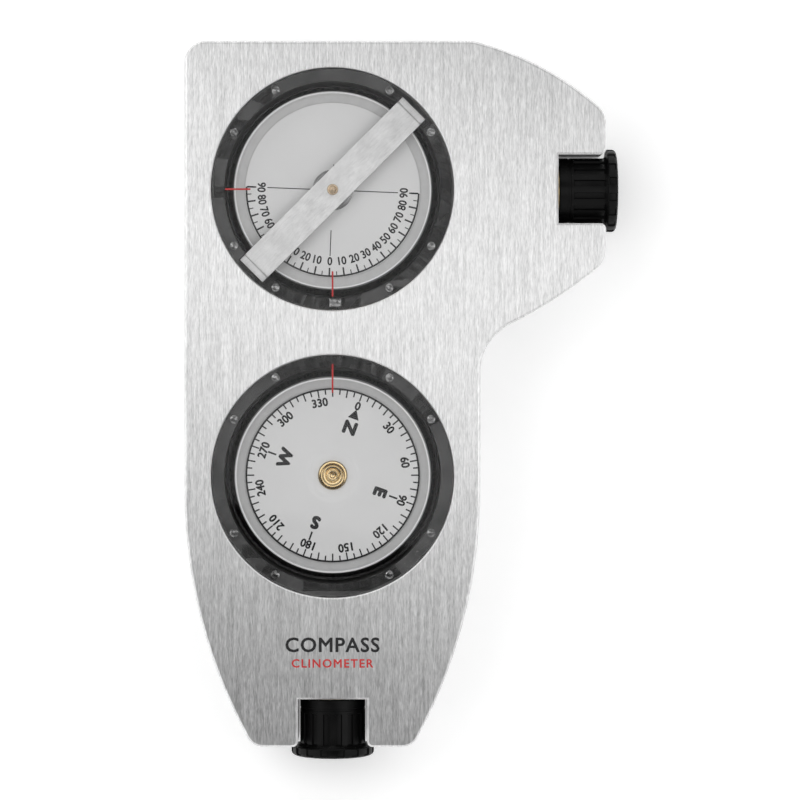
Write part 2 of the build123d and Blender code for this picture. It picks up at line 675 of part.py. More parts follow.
def build_eyepiece(prefix, seat):
    """One eyepiece, placed with its axis along the seat's Z."""
    pieces = {
        "guide_sleeve": eyepiece_sleeve(),
        "o_ring": o_ring(),
        "key_pin": key_pin(),
        "focus_ring": eyepiece_ring(),
        "cell_clip": cell_clip(),
        "lens_cell": lens_cell(),
        "eye_lens": eye_lens(),
        "lens_retainer": lens_retainer(),
    }
    for name, shape in pieces.items():
        save(prefix + "_" + name, seat * shape)


def main():
    os.makedirs("parts", exist_ok=True)
    side = Plane(origin=(HEAD_X, CLINO_Y, SIGHT_Z), x_dir=(0, 0, 1), z_dir=(1, 0, 0)).location
    lower = Plane(origin=(AXIS_X, FOOT_Y, SIGHT_Z), x_dir=(0, 0, 1), z_dir=(0, -1, 0)).location
    seats = ((side, HEAD_X - AXIS_X), (lower, COMPASS_Y - FOOT_Y))
    save("body_block", body_block(seats))
    build_clinometer()
    build_compass()
    build_eyepiece("side", side)
    build_eyepiece("lower", lower)
    print(len(written), "sub-parts written")


main()
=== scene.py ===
import bpy
import bmesh
import math
from mathutils import Matrix, Vector


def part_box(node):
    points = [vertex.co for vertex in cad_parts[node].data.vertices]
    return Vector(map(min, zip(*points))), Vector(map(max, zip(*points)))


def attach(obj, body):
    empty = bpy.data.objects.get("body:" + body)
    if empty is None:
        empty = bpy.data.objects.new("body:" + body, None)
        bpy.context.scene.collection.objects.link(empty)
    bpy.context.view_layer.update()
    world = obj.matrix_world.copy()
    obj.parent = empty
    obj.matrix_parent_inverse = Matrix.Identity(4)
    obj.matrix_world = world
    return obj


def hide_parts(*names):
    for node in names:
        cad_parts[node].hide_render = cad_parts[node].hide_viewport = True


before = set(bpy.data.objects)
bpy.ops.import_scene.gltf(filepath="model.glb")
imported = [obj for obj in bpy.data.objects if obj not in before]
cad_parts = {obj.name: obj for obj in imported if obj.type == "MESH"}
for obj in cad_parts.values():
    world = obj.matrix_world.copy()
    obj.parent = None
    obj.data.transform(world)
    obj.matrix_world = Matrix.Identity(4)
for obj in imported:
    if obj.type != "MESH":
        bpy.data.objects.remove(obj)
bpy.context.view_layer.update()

MM = 0.001
FULL_TURN = 2 * math.pi


# ---- places taken from the frame -----------------------------------------------------------------
def middle(node):
    """Centre of a CAD node's box."""
    low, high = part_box(node)
    return (Vector(low) + Vector(high)) / 2


def low_z(node):
    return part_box(node)[0][2]


def high_z(node):
    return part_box(node)[1][2]


def half_width(node):
    low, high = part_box(node)
    return (high[0] - low[0]) / 2


CLINO = middle("clinometer_cover")
COMPASS = middle("compass_cover")
BLOCK_TOP = high_z("body_block")
COVER_RADIUS = half_width("clinometer_cover")
RIM_Z = low_z("clinometer_cover")
COVER_Z = high_z("clinometer_cover")
DIAL_Z = high_z("clinometer_dial")
WHEEL_SWING = -2.3  # degrees anticlockwise from -Y to the clinometer wheel's zero
CARD_SWING = -20.0  # degrees anticlockwise from +Y to the compass card's north


# ---- shader building -----------------------------------------------------------------------------
class Value:
    """One output of a node. Arithmetic on it adds Math nodes."""

    def __init__(self, finish, socket):
        self.finish, self.socket = finish, socket

    def math(self, operation, *terms):
        return self.finish.node("ShaderNodeMath", {"operation": operation}, dict(enumerate(terms)))

    def __add__(self, other):
        return self.math("ADD", self, other)

    def __radd__(self, other):
        return self.math("ADD", other, self)

    def __sub__(self, other):
        return self.math("SUBTRACT", self, other)

    def __rsub__(self, other):
        return self.math("SUBTRACT", other, self)

    def __mul__(self, other):
        return self.math("MULTIPLY", self, other)

    def __rmul__(self, other):
        return self.math("MULTIPLY", other, self)

    def __pow__(self, other):
        return self.math("POWER", self, other)


class Finish:
    """A material under construction, or the world's light."""

    def __init__(self, name, store=bpy.data.materials):
        self.made = store.new(name)
        self.made.use_nodes = True
        self.tree = self.made.node_tree
        self.tree.nodes.clear()

    def node(self, kind, settings, inputs, output=0):
        """Add a node: its settings first, then its sockets' values or links."""
        made = self.tree.nodes.new(kind)
        for key, value in settings.items():
            if key == "stops":
                self.set_stops(made.color_ramp, value)
            else:
                setattr(made, key, value)
        for key, value in inputs.items():
            if isinstance(value, Value):
                self.tree.links.new(value.socket, made.inputs[key])
            else:
                made.inputs[key].default_value = value
        return Value(self, made.outputs[output]) if made.outputs else None

    @staticmethod
    def set_stops(ramp, stops):
        while len(ramp.elements) < len(stops):
            ramp.elements.new(1.0)
        for element, (place, shade) in zip(ramp.elements, stops):
            element.position = place
            element.color = (shade, shade, shade, 1.0)

    def ramp(self, value, stops):
        """Grey ramp through (place, shade) stops."""
        return self.node("ShaderNodeValToRGB", {"stops": stops}, {0: value})

    def place(self, centre=(0, 0, 0), stretch=(1, 1, 1)):
        """Object coordinates about a centre, stretched."""
        coordinates = self.node("ShaderNodeTexCoord", {}, {}, output=3)
        moved = self.node(
            "ShaderNodeVectorMath", {"operation": "SUBTRACT"}, {0: coordinates, 1: tuple(centre)}
        )
        return self.node("ShaderNodeVectorMath", {"operation": "MULTIPLY"}, {0: moved, 1: stretch})

    def split(self, vector):
        """The three parts of a vector."""
        parts = self.node("ShaderNodeSeparateXYZ", {}, {0: vector})
        outputs = parts.socket.node.outputs
        return [Value(self, outputs[i]) for i in range(3)]

    def noise(self, vector, scale, detail=3.0, roughness=0.5):
        values = {"Vector": vector, "Scale": scale, "Detail": detail, "Roughness": roughness}
        return self.node("ShaderNodeTexNoise", {}, values)

    def mix(self, factor, first, second):
        """Colour between two colours."""
        values = {0: factor, 6: first, 7: second}
        return self.node("ShaderNodeMix", {"data_type": "RGBA"}, values, output=2)

    def bump(self, height, depth, strength):
        values = {"Strength": strength, "Distance": depth, "Height": height}
        return self.node("ShaderNodeBump", {}, values)

    def principled(self, **values):
        named = {key.replace("_", " ").title(): value for key, value in values.items()}
        named = {key.replace("Ior", "IOR"): value for key, value in named.items()}
        return self.node("ShaderNodeBsdfPrincipled", {}, named)

    def done(self, shader, output="ShaderNodeOutputMaterial"):
        """Close the tree with its surface shader."""
        self.node(output, {}, {0: shader})
        return self.made


def grey(level):
    return (level, level, level, 1.0)


def shade(red, green, blue):
    return (red, green, blue, 1.0)


# ---- finishes ------------------------------------------------------------------------------------
def brushed_block():
    """Anodised aluminium, brushed along the block's length."""
    finish = Finish("brushed_aluminium")
    fine = finish.noise(finish.place(stretch=(6500, 750, 6500)), 1.0, 3.0, 0.6)
    long = finish.noise(finish.place((0.3, 0.1, 0), (2200, 70, 2200)), 1.0, 3.0, 0.55)
    cloud = finish.noise(finish.place((1.1, 0.4, 0)), 45.0, 2.0)
    streak = fine * 0.65 + long * 0.35
    tone = finish.ramp(streak, ((0.34, 0.54), (0.66, 0.99)))
    base = finish.mix(cloud * 0.10, tone, grey(0.70))
    rough = finish.ramp(streak, ((0.25, 0.30), (0.75, 0.42)))
    normal = finish.bump(streak, 0.00002, 0.35)
    shader = finish.principled(base_color=base, metallic=1.0, roughness=rough, normal=normal)
    return finish.done(shader)


def satin_bar():
    """Fine satin aluminium of the bridge."""
    finish = Finish("satin_aluminium")
    x, y, z = finish.split(finish.place())
    along = finish.node(
        "ShaderNodeCombineXYZ", {}, {0: (x + y) * 350.0, 1: (y - x) * 3500.0, 2: z * 900.0}
    )
    grain = finish.noise(along, 1.0, 4.0, 0.65)
    cloud = finish.noise(finish.place((0.7, 0.2, 0)), 420.0, 4.0, 0.65)
    tone = finish.ramp(grain * 0.5 + cloud * 0.5, ((0.34, 0.58), (0.66, 0.82)))
    normal = finish.bump(grain, 0.00001, 0.3)
    shader = finish.principled(base_color=tone, metallic=0.55, roughness=0.42, normal=normal)
    return finish.done(shader)


def black_plastic():
    """Moulded black plastic with a faint grain and handling shine."""
    finish = Finish("moulded_black_plastic")
    grain = finish.noise(finish.place(), 5200.0, 3.0, 0.6)
    wear = finish.noise(finish.place((0.2, 0.3, 0.1)), 380.0, 4.0)
    tone = finish.mix(wear, grey(0.0012), grey(0.0040))
    rough = finish.ramp(wear, ((0.3, 0.30), (0.7, 0.44)))
    normal = finish.bump(grain, 0.00001, 0.35)
    shader = finish.principled(
        base_color=tone, roughness=rough, normal=normal, specular_ior_level=0.14
    )
    return finish.done(shader)


def smoked_acrylic(name, centre):
    """Dark clear plastic of a cup, with turning marks and a little dust."""
    finish = Finish(name)
    place = finish.place(centre)
    x, y, _ = finish.split(place)
    radius = (x * x + y * y) ** 0.5
    rings = finish.noise(finish.node("ShaderNodeCombineXYZ", {}, {0: radius * 9000.0}), 1.0, 3.0)
    cloud = finish.noise(place, 170.0, 5.0, 0.65)
    speck = finish.ramp(finish.noise(place, 1900.0, 2.0), ((0.70, 0.0), (0.78, 1.0)))
    tone = finish.ramp(rings * 0.3 + cloud * 0.7, ((0.32, 0.024), (0.68, 0.115)))
    base = finish.mix(speck * 0.5, tone, grey(0.35))
    normal = finish.bump(rings, 0.00002, 0.4)
    shader = finish.principled(base_color=base, roughness=0.32, normal=normal)
    return finish.done(shader)


def clear_acrylic():
    """Polished clear window: light passes straight through, and the surface shines."""
    finish = Finish("clear_acrylic")
    clear = finish.node("ShaderNodeBsdfTransparent", {}, {"Color": grey(0.998)})
    shine = finish.node("ShaderNodeBsdfGlossy", {}, {"Color": grey(0.9), "Roughness": 0.04})
    edge = finish.node("ShaderNodeFresnel", {}, {"IOR": 1.4})
    dust = finish.noise(finish.place(), 900.0, 5.0, 0.7)
    haze = finish.ramp(dust, ((0.65, 0.0), (0.85, 0.03)))
    shader = finish.node("ShaderNodeMixShader", {}, {0: edge * 0.4 + haze, 1: clear, 2: shine})
    return finish.done(shader)


def glassy_pad():
    """Small moulded dome: dark through its middle, bright round its edge."""
    finish = Finish("moulded_pad")
    body = finish.node("ShaderNodeBsdfTransparent", {}, {"Color": grey(0.8)})
    shine = finish.node("ShaderNodeBsdfGlossy", {}, {"Color": grey(1.0), "Roughness": 0.1})
    edge = finish.node("ShaderNodeFresnel", {}, {"IOR": 2.1})
    cloud = finish.ramp(finish.noise(finish.place(), 1900.0, 2.0), ((0.42, 0.3), (0.58, 1.6)))
    shader = finish.node("ShaderNodeMixShader", {}, {0: edge * cloud, 1: body, 2: shine})
    return finish.done(shader)


def dial_sheet():
    """Silver-grey printed sheet with a satin face."""
    finish = Finish("dial_sheet")
    cloud = finish.noise(finish.place(), 120.0, 3.0)
    grain = finish.noise(finish.place(), 6000.0, 2.0)
    tone = finish.ramp(cloud * 0.7 + grain * 0.3, ((0.3, 0.72), (0.7, 0.76)))
    normal = finish.bump(grain, 0.000004, 0.3)
    shader = finish.principled(base_color=tone, roughness=0.55, normal=normal)
    return finish.done(shader)


def drum_finish(name, centre, rim, tone):
    """Grey web, bright rim and dark outer wall of a drum."""
    finish = Finish(name)
    place = finish.place(centre)
    x, y, _ = finish.split(place)
    radius = (x * x + y * y) ** 0.5
    rim_mask = finish.ramp((radius - (rim - 0.6 * MM)) * 1000.0, ((0.10, 0.0), (0.16, 1.0)))
    wall_mask = finish.ramp((radius - rim) * 1000.0, ((0.005, 0.0), (0.03, 1.0)))
    grain = finish.noise(place, 900.0, 4.0, 0.6)
    web = finish.ramp(grain, ((0.3, 0.95 * tone), (0.7, 1.05 * tone)))
    bright = finish.mix(rim_mask, web, grey(0.92))
    base = finish.mix(wall_mask, bright, grey(0.11))
    normal = finish.bump(grain, 0.000006, 0.3)
    shader = finish.principled(base_color=base, roughness=0.5, normal=normal)
    return finish.done(shader)


def print_ink(name, colour):
    """Printed or painted marks, slightly uneven in tone."""
    finish = Finish(name)
    cloud = finish.noise(finish.place(), 1500.0, 3.0)
    dark = tuple(0.82 * part for part in colour)
    base = finish.mix(cloud, (*dark, 1.0), (*colour, 1.0))
    return finish.done(finish.principled(base_color=base, roughness=0.5))


def turned_metal(name, centre, low, high, roughness, axis=2):
    """Lathe-turned metal: fine rings about an axis through a centre."""
    finish = Finish(name)
    place = finish.place(centre)
    parts = finish.split(place)
    across = [part for i, part in enumerate(parts) if i != axis]
    radius = (across[0] * across[0] + across[1] * across[1]) ** 0.5
    rings = finish.noise(finish.node("ShaderNodeCombineXYZ", {}, {0: radius * 6000.0}), 1.0, 3.0)
    cloud = finish.noise(place, 700.0, 3.0)
    blend = finish.ramp(rings * 0.75 + cloud * 0.25, ((0.36, 0.0), (0.60, 1.0)))
    base = finish.mix(blend, (*low, 1.0), (*high, 1.0))
    normal = finish.bump(rings, 0.00001, 0.5)
    shader = finish.principled(base_color=base, metallic=1.0, roughness=roughness, normal=normal)
    return finish.done(shader)


def plain_moulding(name, low, high, roughness):
    """Small moulded or pressed part with a little variation in tone and grain."""
    finish = Finish(name)
    cloud = finish.noise(finish.place(), 800.0, 4.0)
    base = finish.mix(cloud, (*low, 1.0), (*high, 1.0))
    normal = finish.bump(finish.noise(finish.place(), 5000.0, 2.0), 0.000005, 0.3)
    return finish.done(finish.principled(base_color=base, roughness=roughness, normal=normal))


def clear_glass(name, tint):
    """Polished lens or jewel."""
    finish = Finish(name)
    clear = finish.node("ShaderNodeBsdfTransparent", {}, {"Color": (*tint, 1.0)})
    shine = finish.node("ShaderNodeBsdfGlossy", {}, {"Color": grey(1.0), "Roughness": 0.02})
    edge = finish.node("ShaderNodeFresnel", {}, {"IOR": 1.55})
    wipe = finish.ramp(finish.noise(finish.place(), 600.0, 4.0), ((0.55, 0.0), (0.9, 0.04)))
    shader = finish.node("ShaderNodeMixShader", {}, {0: edge + wipe, 1: clear, 2: shine})
    return finish.done(shader)


# ---- mesh building -------------------------------------------------------------------------------
def spun(bm, profile, steps, angle=FULL_TURN):
    """Add a surface of revolution about Z from (radius, height) points, in millimetres."""
    verts = [bm.verts.new((radius * MM, 0, height * MM)) for radius, height in profile]
    edges = [bm.edges.new(pair) for pair in zip(verts, verts[1:])]
    bmesh.ops.spin(
        bm, geom=verts + edges, cent=(0, 0, 0), axis=(0, 0, 1), angle=angle, steps=steps,
        use_merge=angle == FULL_TURN,
    )


def lathe(profile, steps):
    """Closed solid of revolution from a profile whose ends meet the axis or each other."""
    bm = bmesh.new()
    if profile[0][0] > 0:
        profile = [*profile, profile[0]]
    spun(bm, profile, steps)
    bmesh.ops.remove_doubles(bm, verts=bm.verts, dist=1e-7)
    bmesh.ops.recalc_face_normals(bm, faces=bm.faces)
    return bm


def raised(outline, height):
    """Outline of (radius, rise) points set at a height."""
    return [(radius, height + rise) for radius, rise in outline]


def join(bm, part):
    """Add a part's mesh to a piece's and free the part."""
    shape = bpy.data.meshes.new("part")
    part.to_mesh(shape)
    part.free()
    bm.from_mesh(shape)
    bpy.data.meshes.remove(shape)


def bar(bm, length, width, low, high, turn=0.0, x=0.0):
    """Add a box, centred at x before it is turned about Z. Millimetres and degrees."""
    made = bmesh.ops.create_cube(bm, size=1.0)["verts"]
    bmesh.ops.scale(bm, vec=(length * MM, width * MM, (high - low) * MM), verts=made)
    bmesh.ops.translate(bm, vec=(x * MM, 0, (low + high) / 2 * MM), verts=made)
    spin = Matrix.Rotation(math.radians(turn), 3, "Z")
    bmesh.ops.rotate(bm, cent=(0, 0, 0), matrix=spin, verts=made)


BOLD_COPIES = 6
BOLD_STEP = 1e-6  # between the copies' faces, so that none share a plane


def lettering(
    bm, words, height, x, y, turn, z, thickness, bold, spacing=1.0, squeeze=1.0
):
    """Add words as thin solid letters, centred on x, y and turned. Millimetres and degrees.

    Bold is the growth of a stroke on each side, made by copies set round the first one.
    """
    curve = bpy.data.curves.new("words", "FONT")
    curve.body = words
    curve.align_x = "CENTER"
    curve.align_y = "CENTER"
    curve.size = 1.0
    curve.space_character = spacing
    curve.resolution_u = 3
    holder = bpy.data.objects.new("words", curve)
    bpy.context.scene.collection.objects.link(holder)
    bpy.context.view_layer.update()
    depsgraph = bpy.context.evaluated_depsgraph_get()
    flat = bpy.data.meshes.new_from_object(holder.evaluated_get(depsgraph))
    bpy.data.objects.remove(holder)
    bpy.data.curves.remove(curve)
    heights = [vert.co.y for vert in flat.vertices]
    widths = [vert.co.x for vert in flat.vertices]
    scale = height * MM / (max(heights) - min(heights))
    centre = Vector(((max(widths) + min(widths)) / 2, (max(heights) + min(heights)) / 2, 0))
    place = (
        Matrix.Translation((x * MM, y * MM, z * MM))
        @ Matrix.Rotation(math.radians(turn), 4, "Z")
        @ Matrix.Diagonal((scale * squeeze, scale, 1.0, 1.0))
        @ Matrix.Translation(-centre)
    )
    part = bmesh.new()
    part.from_mesh(flat)
    bmesh.ops.remove_doubles(part, verts=part.verts, dist=1e-6)
    grown = bmesh.ops.extrude_face_region(part, geom=part.faces[:])["geom"]
    tops = [item for item in grown if isinstance(item, bmesh.types.BMVert)]
    bmesh.ops.translate(part, vec=(0, 0, thickness * MM), verts=tops)
    bmesh.ops.recalc_face_normals(part, faces=part.faces)
    bmesh.ops.transform(part, matrix=place, verts=part.verts)
    part.to_mesh(flat)
    part.free()
    bm.from_mesh(flat)
    for i in range(BOLD_COPIES):
        way = FULL_TURN * i / BOLD_COPIES
        before = len(bm.verts)
        bm.from_mesh(flat)
        bm.verts.ensure_lookup_table()
        shift = (bold * MM * math.cos(way), bold * MM * math.sin(way), -BOLD_STEP * (i + 1))
        bmesh.ops.translate(bm, vec=shift, verts=bm.verts[before:])
    bpy.data.meshes.remove(flat)


def piece(name, bm, body, material, place=None, replaces=(), sharp=35.0, bevel=0.0):
    """Turn a bmesh into a finished piece that rides on a body."""
    if place is not None:
        bmesh.ops.transform(bm, matrix=place, verts=bm.verts)
    for face in bm.faces:
        face.smooth = True
    mesh = bpy.data.meshes.new(name)
    bm.to_mesh(mesh)
    bm.free()
    mesh.set_sharp_from_angle(angle=math.radians(sharp))
    mesh.materials.append(material)
    made = bpy.data.objects.new(name, mesh)
    bpy.context.scene.collection.objects.link(made)
    if bevel:
        rounding = made.modifiers.new("edges", "BEVEL")
        rounding.width = bevel * MM
        rounding.segments = 2
        rounding.limit_method = "ANGLE"
        rounding.angle_limit = math.radians(sharp)
        rounding.harden_normals = False
    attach(made, body)
    if replaces:
        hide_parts(*replaces)


def dress(node, material):
    """Give a CAD node its finish."""
    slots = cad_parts[node].material_slots
    if not slots:
        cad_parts[node].data.materials.append(material)
    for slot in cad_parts[node].material_slots:
        slot.material = material


def upright(centre):
    """Place for a piece drawn about Z at height 0."""
    return Matrix.Translation((centre.x, centre.y, 0))


# ---- capsules ------------------------------------------------------------------------------------
COVER = {
    "window": 18.5,
    "flange": COVER_RADIUS / MM,
    "low": RIM_Z / MM,
    "step": RIM_Z / MM + 1.2,
    "top": COVER_Z / MM,
    "round": 0.12,
}
PAD_CIRCLE = 19.4
PAD_RADIUS = 0.75
PAD_RISE = 0.24
PAD_SINK = 0.02  # of the pads and the gate mark into the flange
PAD_STEPS = 8  # up a pad's curve
PAD_ANGLES = (30, 60, 120, 150, 210, 240, 300, 330)
GATE = {"foot": 1.5, "top": 0.9, "height": 0.26, "aside": 0.5, "flatten": 0.7}
INDEX_WIDTH = 0.3
INDEX_THICKNESS = 0.06
INDEX_RISE = 0.9  # above the cover's underside


def cover_profile():
    """Window with a step down to its flange, all edges rounded."""
    c = COVER
    r = c["round"]
    return [
        (0, c["low"]),
        (c["flange"] - r, c["low"]),
        (c["flange"], c["low"] + r),
        (c["flange"], c["step"] - r),
        (c["flange"] - r, c["step"]),
        (c["window"] + r, c["step"]),
        (c["window"], c["step"] + r),
        (c["window"], c["top"] - r),
        (c["window"] - r, c["top"]),
        (0, c["top"]),
    ]


def cover_pads():
    """Eight small domed pads on the flange."""
    bm = bmesh.new()
    base = COVER["step"] - PAD_SINK
    dome = [(0, base)]
    for step in range(PAD_STEPS + 1):
        angle = math.radians(90 * step / PAD_STEPS)
        dome.append((PAD_RADIUS * math.cos(angle), base + PAD_SINK + PAD_RISE * math.sin(angle)))
    dome[-1] = (0, base + PAD_SINK + PAD_RISE)
    out = Matrix.Translation((PAD_CIRCLE * MM, 0, 0))
    for angle in PAD_ANGLES:
        pad = lathe(dome, 24)
        turn = Matrix.Rotation(math.radians(angle), 4, "Z")
        bmesh.ops.transform(pad, matrix=turn @ out, verts=pad.verts)
        join(bm, pad)
    return bm


def gate_mark(bm):
    """Add the small wedge left by moulding on the clinometer's flange."""
    wedge = bmesh.ops.create_cone(
        bm, segments=4, radius1=GATE["foot"] * MM, radius2=GATE["top"] * MM,
        depth=GATE["height"] * MM, cap_ends=True,
    )["verts"]
    height = COVER["step"] - PAD_SINK + GATE["height"] / 2
    place = Matrix.Translation((GATE["aside"] * MM, -PAD_CIRCLE * MM, height * MM))
    flat = Matrix.Diagonal((1.0, GATE["flatten"], 1.0, 1.0))
    turn = Matrix.Rotation(math.radians(45), 4, "Z")
    bmesh.ops.transform(bm, matrix=place @ flat @ turn, verts=wedge)


def build_capsule(name, centre, materials):
    """Cover, pads and the finish of the cup for one capsule."""
    place = upright(centre)
    cover = lathe(cover_profile(), 160)
    piece(
        name + "_window", cover, "block", materials["clear"], place,
        [name + "_cover"],
    )
    pads = cover_pads()
    if name == "clinometer":
        gate_mark(pads)
    piece(name + "_window_pads", pads, "block", materials["pad"], place)
    dress(name + "_cup", smoked_acrylic(name + "_cup_acrylic", centre))


def index_lines(name, angles, start, end, materials, centre):
    """Red reading lines under a cover."""
    bm = bmesh.new()
    high = RIM_Z / MM + INDEX_RISE
    for angle in angles:
        bar(bm, end - start, INDEX_WIDTH, high - INDEX_THICKNESS, high, angle, (start + end) / 2)
    piece(name, bm, "block", materials["red"], upright(centre))


# ---- dials ---------------------------------------------------------------------------------------
DIAL_SHEET = 0.25
DIAL_ROUND = 0.03
RIDGE_HALF = 0.35
RIDGE_RISE = 0.09
INK_THICKNESS = 0.012
INK_SINK = 0.003  # of printing into the face it lies on
PRINT_LOW = DIAL_Z / MM - INK_SINK

# Printed lines: inner radius, outer radius and width.
CLINO_LINES = {
    "tens": (13.35, 14.65, 0.28),
    "fives": (13.95, 14.65, 0.16),
    "level": (3.2, 11.2, 0.16),
    "level end": (13.1, 14.7, 0.20),
    "plumb": (6.9, 11.3, 0.16),
    "upper plumb": (3.4, 4.4, 0.16),
}
CLINO_CIRCLE = (14.62, 14.92)
CLINO_FIGURES = {"height": 1.36, "radius": 12.2, "bold": 0.055, "squeeze": 0.88}
COMPASS_LINES = {
    "tens": (13.45, 14.7, 0.24),
    "fives": (13.85, 14.7, 0.24),
    "letter": (10.3, 11.8, 0.3),
}
COMPASS_CIRCLE = (14.65, 14.95)
COMPASS_FIGURES = {"height": 1.38, "radius": 12.6, "bold": 0.075, "squeeze": 0.95}
COMPASS_LETTERS = {"height": 2.0, "radius": 8.65, "bold": 0.19, "squeeze": 1.05}
ARROW_RADIUS = 10.85
ARROW_SIZE = 1.12  # centre to corner


def dial_disc(node, hub_hole, ridges=()):
    """Dial with softly raised rings round its hub."""
    top = DIAL_Z / MM
    low = top - DIAL_SHEET
    edge = half_width(node) / MM
    profile = [(hub_hole, low), (edge, low), (edge, top - DIAL_ROUND), (edge - DIAL_ROUND, top)]
    for ridge in ridges:
        profile += [(ridge + RIDGE_HALF, top), (ridge, top + RIDGE_RISE), (ridge - RIDGE_HALF, top)]
    return lathe([*profile, (hub_hole, top)], 160)


def arc_line(bm, circle, start, sweep, steps):
    """Add a printed arc, from a start angle through a sweep in degrees."""
    inner, outer = circle
    low = PRINT_LOW
    high = low + INK_THICKNESS
    ring = bmesh.new()
    corners = [(inner, low), (outer, low), (outer, high), (inner, high), (inner, low)]
    spun(ring, corners, steps, math.radians(sweep))
    bmesh.ops.remove_doubles(ring, verts=ring.verts, dist=1e-8)
    if sweep < 360:
        bmesh.ops.holes_fill(ring, edges=ring.edges, sides=4)
    turn = Matrix.Rotation(math.radians(start), 3, "Z")
    bmesh.ops.rotate(ring, cent=(0, 0, 0), matrix=turn, verts=ring.verts)
    bmesh.ops.recalc_face_normals(ring, faces=ring.faces)
    join(bm, ring)


def radial_mark(bm, line, angle):
    """Add a printed radial line at an angle in degrees from +X."""
    inner, outer, width = line
    bar(
        bm, outer - inner, width, PRINT_LOW, PRINT_LOW + INK_THICKNESS, angle, (inner + outer) / 2
    )


def at(radius, angle):
    """Point at a radius and an angle in degrees from +X."""
    return radius * math.cos(math.radians(angle)), radius * math.sin(math.radians(angle))


def figure(bm, words, style, angle, turn):
    """Add printed words on a dial, at an angle in degrees from +X."""
    x, y = at(style["radius"], angle)
    lettering(
        bm, words, style["height"], x, y, turn, PRINT_LOW, INK_THICKNESS, style["bold"],
        squeeze=style["squeeze"],
    )


def clino_print(material):
    """Quarter scales each side of zero, with figures whose tops point inwards."""
    bm = bmesh.new()
    arc_line(bm, CLINO_CIRCLE, 180 + WHEEL_SWING, 180, 128)
    for step in range(-18, 19):
        angle = -90 + 5 * step + WHEEL_SWING
        if step % 2:
            radial_mark(bm, CLINO_LINES["fives"], angle)
        else:
            radial_mark(bm, CLINO_LINES["tens"], angle)
            figure(bm, str(abs(step) * 5), CLINO_FIGURES, angle, angle + 90)
    for angle in (WHEEL_SWING, 180 + WHEEL_SWING):
        radial_mark(bm, CLINO_LINES["level"], angle)
        radial_mark(bm, CLINO_LINES["level end"], angle)
    radial_mark(bm, CLINO_LINES["plumb"], -90 + WHEEL_SWING)
    radial_mark(bm, CLINO_LINES["upper plumb"], 90 + WHEEL_SWING)
    piece("clinometer_scale_print", bm, "clinometer_wheel", material, upright(CLINO))


def compass_print(material):
    """Full circle of degrees with the four cardinal letters, tops outwards."""
    bm = bmesh.new()
    arc_line(bm, COMPASS_CIRCLE, 0, 360, 256)
    for step in range(72):
        line = COMPASS_LINES["fives" if step % 2 else "tens"]
        radial_mark(bm, line, 90 + CARD_SWING - 5 * step)
    for bearing in range(0, 360, 30):
        angle = 90 + CARD_SWING - bearing
        figure(bm, str(bearing), COMPASS_FIGURES, angle, angle - 90)
    for letter, bearing in (("N", 0), ("E", 90), ("S", 180), ("W", 270)):
        angle = 90 + CARD_SWING - bearing
        figure(bm, letter, COMPASS_LETTERS, angle, angle - 90)
        if letter != "N":
            radial_mark(bm, COMPASS_LINES["letter"], angle)
    arrow_head(bm, 90 + CARD_SWING)
    piece("compass_card_print", bm, "compass_card", material, upright(COMPASS))


def arrow_head(bm, angle):
    """Add the north triangle."""
    head = bmesh.ops.create_cone(
        bm, segments=3, radius1=ARROW_SIZE * MM, radius2=ARROW_SIZE * MM,
        depth=INK_THICKNESS * MM, cap_ends=True, cap_tris=False,
    )["verts"]
    x, y = at(ARROW_RADIUS, angle)
    place = Matrix.Translation((x * MM, y * MM, (PRINT_LOW + INK_THICKNESS / 2) * MM))
    turn = Matrix.Rotation(math.radians(angle - 90), 4, "Z")
    bmesh.ops.transform(bm, matrix=place @ turn, verts=head)


# Drums' walls: radius at the top and at the foot, and the web's tone.
RIMS = {"clinometer_drum": (17.1, 18.2), "compass_card_drum": (16.95, 18.05)}
WEB_TONES = {"clinometer_drum": 0.57, "compass_card_drum": 0.52}
RIM_BARE = 0.55  # band above the figures
RIM_FIGURES = {"height": 2.1, "thickness": 0.03, "bold": 0.06, "squeeze": 0.7}
RIM_MARK = {"length": 1.0, "width": 0.3, "below": 2.0}


def rim_figures(name, node, body, centre, swing, numbers, material):
    """Sighted scale on a drum's flared wall: every ten degrees a figure with a mark below it."""
    bm = bmesh.new()
    high = high_z(node) / MM - RIM_BARE
    low = low_z(node) / MM
    top_radius, foot_radius = RIMS[node]
    lean = Matrix.Rotation(math.atan2(high - low, foot_radius - top_radius), 4, "Y")
    out = Matrix.Translation(((top_radius + foot_radius) / 2 * MM, 0, (low + high) / 2 * MM))
    thickness = RIM_FIGURES["thickness"]
    for i in range(36):
        part = bmesh.new()
        lettering(
            part, str(numbers(i)), RIM_FIGURES["height"], 0, 0, 90, 0, thickness,
            RIM_FIGURES["bold"], squeeze=RIM_FIGURES["squeeze"],
        )
        bar(part, RIM_MARK["length"], RIM_MARK["width"], 0.0, thickness, x=RIM_MARK["below"])
        turn = Matrix.Rotation(math.radians(90 + swing - 10 * i), 4, "Z")
        bmesh.ops.transform(part, matrix=turn @ out @ lean, verts=part.verts)
        join(bm, part)
    piece(name, bm, body, material, upright(centre))


